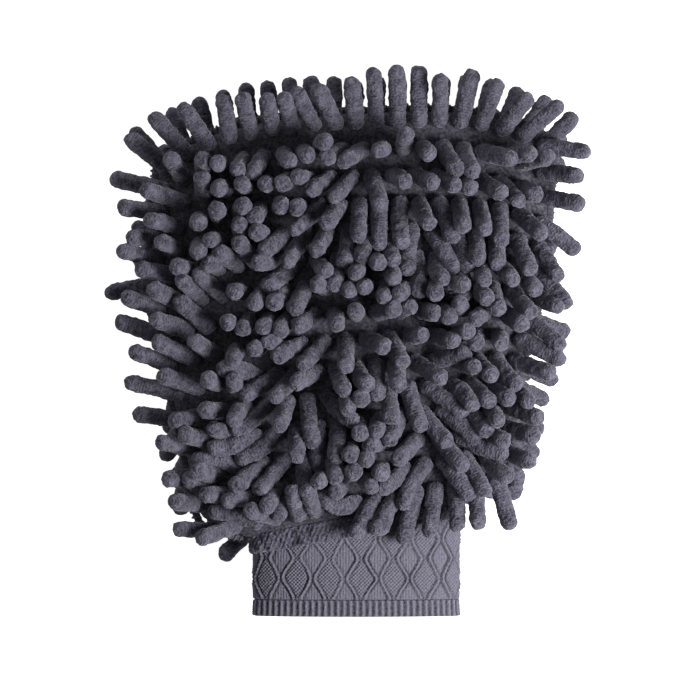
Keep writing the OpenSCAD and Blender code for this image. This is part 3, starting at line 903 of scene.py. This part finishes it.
# ---- Overlocked edge ---------------------------------------------------------------------------------------
EDGE_LOOPS = 230
EDGE_THREAD = 0.42 * MM  # radius
EDGE_LOOP_REACH = 2.0 * MM
EDGE_LOOP_HEIGHT = 0.9 * MM
EDGE_WOBBLE = 0.5 * MM
EDGE_SINK = 0.55  # how far the loops' middle lies inside the strip's outside, in reaches of a loop
EDGE_TRIM = 4 * MM  # how far the seam stops short of the strip's ends
EDGE_RAYS = 1500
RAY_START = 0.3  # well outside the mitt
WIDEST_STEP = 20 * MM  # between neighbouring points of the strip
POINTS_PER_LOOP = 10
FADING_LOOPS = 2
SMOOTHING_ROUNDS = 40
BAND_REACH_SHARE = 0.85  # the folded cloth under the thread, against the reach of a loop
BAND_HEIGHT = 0.75 * MM
BAND_SIDES = 10
THREAD_SIDES = 6


def edge_path(samples):
    """Points along the middle of the edge strip's outside, at even distances, from wrist to wrist."""
    tree = tree_of("edge_seam")
    strip_low, strip_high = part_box("edge_seam")
    centre = (strip_low + strip_high) / 2
    found = []
    for angle in np.linspace(-0.5 * math.pi, 1.5 * math.pi, EDGE_RAYS):
        way = Vector((math.cos(angle), math.sin(angle), 0))
        hit = tree.ray_cast(centre + way * RAY_START, -way)[0]
        if hit is not None and (hit - centre).dot(way) > 0:
            found.append(hit[:])
    found = np.array(found)
    # start after the gap that the cuff leaves
    gaps = np.linalg.norm(np.diff(found, axis=0), axis=1)
    start = int(np.argmax(gaps))
    if gaps[start] > WIDEST_STEP:
        found = np.roll(found, -(start + 1), axis=0)
    walked = np.concatenate([[0], np.cumsum(np.linalg.norm(np.diff(found, axis=0), axis=1))])
    even = np.linspace(EDGE_TRIM, walked[-1] - EDGE_TRIM, samples)
    return np.stack([np.interp(even, walked, found[:, k]) for k in range(3)], 1)


def build_edge():
    """The bag's edge: two cloth layers pressed together, wrapped in overlock thread."""
    path = edge_path(EDGE_LOOPS * POINTS_PER_LOOP)
    ahead = unit(np.gradient(path, axis=0))
    for _ in range(SMOOTHING_ROUNDS):
        ahead[1:-1] = (ahead[:-2] + ahead[1:-1] + ahead[2:]) / 3
    ahead = unit(ahead)
    out = np.cross(ahead, UP)
    middle = path - out * EDGE_LOOP_REACH * EDGE_SINK
    # the seam runs out to nothing over its first and last loops
    count = np.arange(len(path))
    turn = count / POINTS_PER_LOOP * 2 * math.pi
    from_end = np.minimum(count, count[::-1])
    fading = np.sqrt(np.clip(from_end / (FADING_LOOPS * POINTS_PER_LOOP), 0.01, 1))
    reach = EDGE_LOOP_REACH * fading
    loop = middle + out * (reach * np.cos(turn))[:, None]
    loop[:, 2] += EDGE_LOOP_HEIGHT * fading * np.sin(turn)
    loop += out * (EDGE_WOBBLE * noise(path, 9 * MM, 15))[:, None]
    along = unit(np.gradient(loop, axis=0))
    side = unit(np.cross(along, ahead))
    tube = loop[:, None] + spokes_round(side, np.cross(along, side), THREAD_SIDES) * EDGE_THREAD
    across = out * (reach * BAND_REACH_SHARE)[:, None]
    upward = UP * (fading * BAND_HEIGHT)[:, None]
    band = middle[:, None] + spokes_round(across, upward, BAND_SIDES)
    thread_quads, thread_uv = strip_quads(len(loop), THREAD_SIDES)
    band_quads, band_uv = strip_quads(len(middle), BAND_SIDES)
    # the thread takes the lower half of the UV map, the band the upper
    thread_uv[..., 1] *= 0.49
    band_uv[..., 1] = 0.51 + band_uv[..., 1] * 0.49
    tube_points, band_points = tube.reshape(-1, 3), band.reshape(-1, 3)
    # light thread over the dark folded cloth
    raised = np.concatenate([np.full(len(tube_points), 0.9), np.full(len(band_points), 0.2)])
    piece = mesh_object("edge_seam_overlock", np.vstack([tube_points, band_points]),
                        np.vstack([thread_quads, band_quads + len(tube_points)]),
                        np.vstack([thread_uv, band_uv]), raised)
    take_place(piece, "edge_seam", "overlock_thread")


build_edge()


# ---- Stage -------------------------------------------------------------------------------------------------
def make_stage():
    bpy.ops.mesh.primitive_plane_add(size=6)
    floor = bpy.context.object
    floor.name = "floor"
    paint, tree, shader = new_material("floor_paint", (0.9, 0.9, 0.9), 0.9)
    shader.inputs["Emission Color"].default_value = (1, 1, 1, 1)
    # brighter to the camera than as a light on the mitt
    light_path = tree.nodes.new("ShaderNodeLightPath")
    glow = tree.nodes.new("ShaderNodeMapRange")
    glow.inputs["To Min"].default_value = 0.2
    glow.inputs["To Max"].default_value = 0.95
    tree.links.new(light_path.outputs["Is Camera Ray"], glow.inputs["Value"])
    tree.links.new(glow.outputs["Result"], shader.inputs["Emission Strength"])
    floor.data.materials.append(paint)


def add_light(name, place, size, power, target=(0, 0, 0.04)):
    data = bpy.data.lights.new(name, "AREA")
    data.size = size
    data.energy = power
    light = bpy.data.objects.new(name, data)
    scene.collection.objects.link(light)
    light.location = place
    light.rotation_euler = (Vector(target) - Vector(place)).to_track_quat("-Z", "Y").to_euler()


make_stage()
add_light("key", (0.54, -0.2, 0.63), size=0.38, power=10.8)
add_light("fill", (-0.3, 0.1, 1.5), size=0.9, power=2.0)
add_light("back", (-0.5, 0.5, 0.16), size=0.5, power=1.7)
world = bpy.data.worlds.new("studio")
world.use_nodes = True
world.node_tree.nodes["Background"].inputs["Color"].default_value = (1, 1, 1, 1)
world.node_tree.nodes["Background"].inputs["Strength"].default_value = 0.035
scene.world = world
scene.view_settings.view_transform = "Standard"
